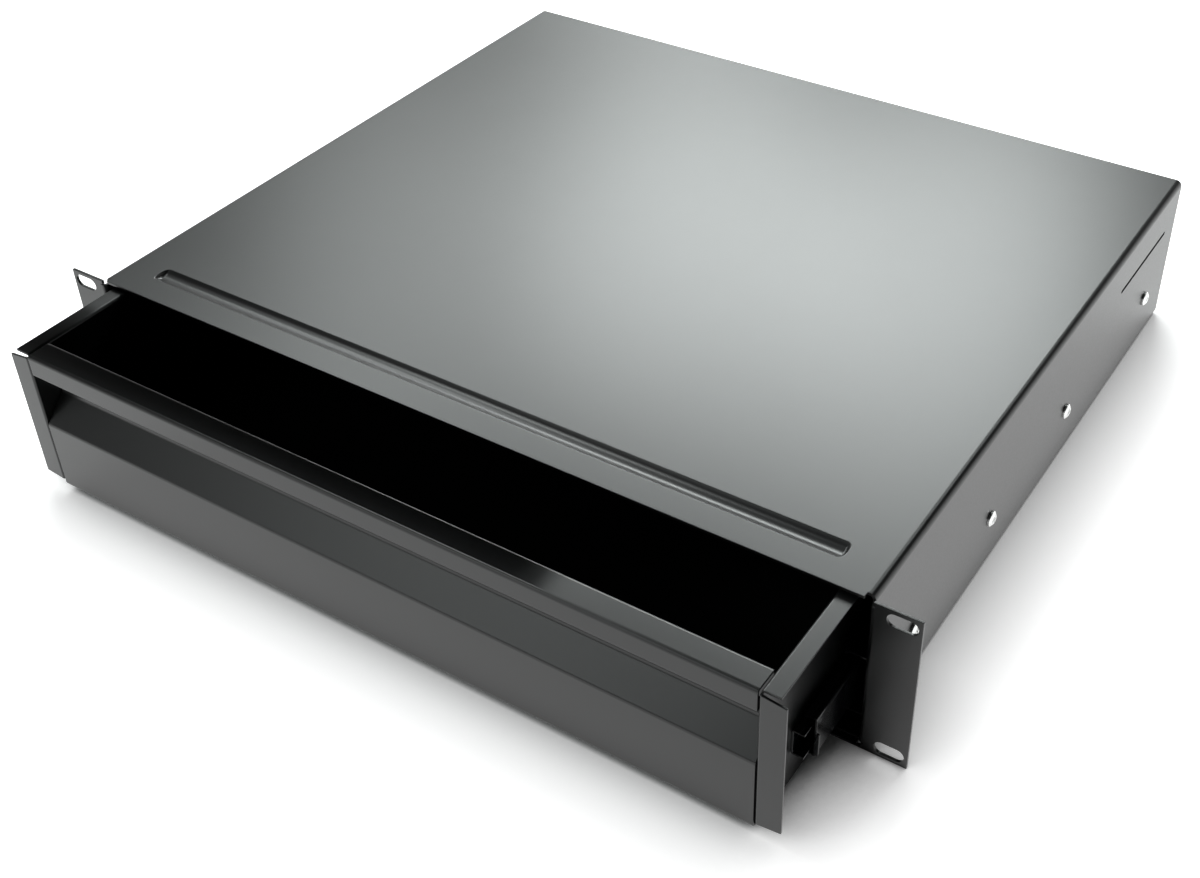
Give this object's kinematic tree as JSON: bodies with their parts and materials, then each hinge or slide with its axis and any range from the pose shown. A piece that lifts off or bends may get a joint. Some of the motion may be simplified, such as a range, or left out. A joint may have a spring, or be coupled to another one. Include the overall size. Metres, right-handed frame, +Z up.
{
  "type": "sliding rack drawer",
  "caption": "Black steel drawer for a 19-inch rack: folded case with slotted ears, tray on ball-bearing slides, and a front folded into a full-width finger pull.",
  "frame": {"origin": "middle of the four rack slots, on the back face of the ears where they seat on the rack's rails", "axes": "+X to the right seen from the front, +Y to the rear into the rack, +Z up; the drawer opens along -Y"},
  "size_m": [0.4826, 0.446, 0.0885],
  "materials": {
    "black_powder_coat": "satin black powder coat, fine grain",
    "black_slide_steel": "black zinc",
    "zinc_screw": "bright zinc plated",
    "bearing_ball": "polished",
    "black_rubber": "matte",
    "black_nylon": "moulded"
  },
  "bodies": {
    "case": {"case_shell": "black_powder_coat", "base_plate": "black_powder_coat", "rear_panel": "black_powder_coat", "outer_slide_right": "black_slide_steel", "case_screws_right": "zinc_screw", "slide_bumper_right": "black_rubber", "outer_slide_left": "black_slide_steel", "case_screws_left": "zinc_screw", "slide_bumper_left": "black_rubber"},
    "drawer": {"drawer_tray": "black_powder_coat", "drawer_back": "black_powder_coat", "front_panel": "black_powder_coat", "drawer_slide_right": "black_slide_steel", "drawer_screws_right": "zinc_screw", "lever_pin_right": "zinc_screw", "drawer_slide_left": "black_slide_steel", "drawer_screws_left": "zinc_screw", "lever_pin_left": "zinc_screw"},
    "middle_right": {"middle_slide_right": "black_slide_steel"},
    "outer_cage_right": {"ball_cage_outer_right": "black_slide_steel", "balls_outer_right": "bearing_ball"},
    "inner_cage_right": {"ball_cage_inner_right": "black_slide_steel", "balls_inner_right": "bearing_ball"},
    "middle_left": {"middle_slide_left": "black_slide_steel"},
    "outer_cage_left": {"ball_cage_outer_left": "black_slide_steel", "balls_outer_left": "bearing_ball"},
    "inner_cage_left": {"ball_cage_inner_left": "black_slide_steel", "balls_inner_left": "bearing_ball"},
    "lever_right": {"release_lever_right": "black_nylon"},
    "lever_left": {"release_lever_left": "black_nylon"}
  },
  "joints": [
    {"name": "drawer_slide", "type": "slide", "parent": "case", "child": "drawer", "axis": [0, -1, 0], "range_m": [-0.0625, 0.2825]},
    {"name": "middle_slide_right", "type": "slide", "parent": "case", "child": "middle_right", "axis": [0, -1, 0], "range_m": [-0.03175, 0.14175]},
    {"name": "outer_cage_right", "type": "slide", "parent": "case", "child": "outer_cage_right", "axis": [0, -1, 0], "range_m": [-0.01613, 0.07112]},
    {"name": "inner_cage_right", "type": "slide", "parent": "case", "child": "inner_cage_right", "axis": [0, -1, 0], "range_m": [-0.04738, 0.21238]},
    {"name": "middle_slide_left", "type": "slide", "parent": "case", "child": "middle_left", "axis": [0, -1, 0], "range_m": [-0.03175, 0.14175]},
    {"name": "outer_cage_left", "type": "slide", "parent": "case", "child": "outer_cage_left", "axis": [0, -1, 0], "range_m": [-0.01613, 0.07112]},
    {"name": "inner_cage_left", "type": "slide", "parent": "case", "child": "inner_cage_left", "axis": [0, -1, 0], "range_m": [-0.04738, 0.21238]},
    {"name": "lever_right", "type": "hinge", "parent": "drawer", "child": "lever_right", "pos_m": [0.2071, 0.146, -0.01255], "axis": [1, 0, 0], "range_deg": [0, 4], "stiffness_Nm_per_rad": 0.03},
    {"name": "lever_left", "type": "hinge", "parent": "drawer", "child": "lever_left", "pos_m": [-0.2071, 0.146, -0.01255], "axis": [1, 0, 0], "range_deg": [-4, 0], "stiffness_Nm_per_rad": 0.03}
  ],
  "couplings": [
    {"joint": "middle_slide_right", "follows": "drawer_slide", "ratio": 0.5},
    {"joint": "outer_cage_right", "follows": "drawer_slide", "ratio": 0.25},
    {"joint": "inner_cage_right", "follows": "drawer_slide", "ratio": 0.75},
    {"joint": "middle_slide_left", "follows": "drawer_slide", "ratio": 0.5},
    {"joint": "outer_cage_left", "follows": "drawer_slide", "ratio": 0.25},
    {"joint": "inner_cage_left", "follows": "drawer_slide", "ratio": 0.75}
  ]
}
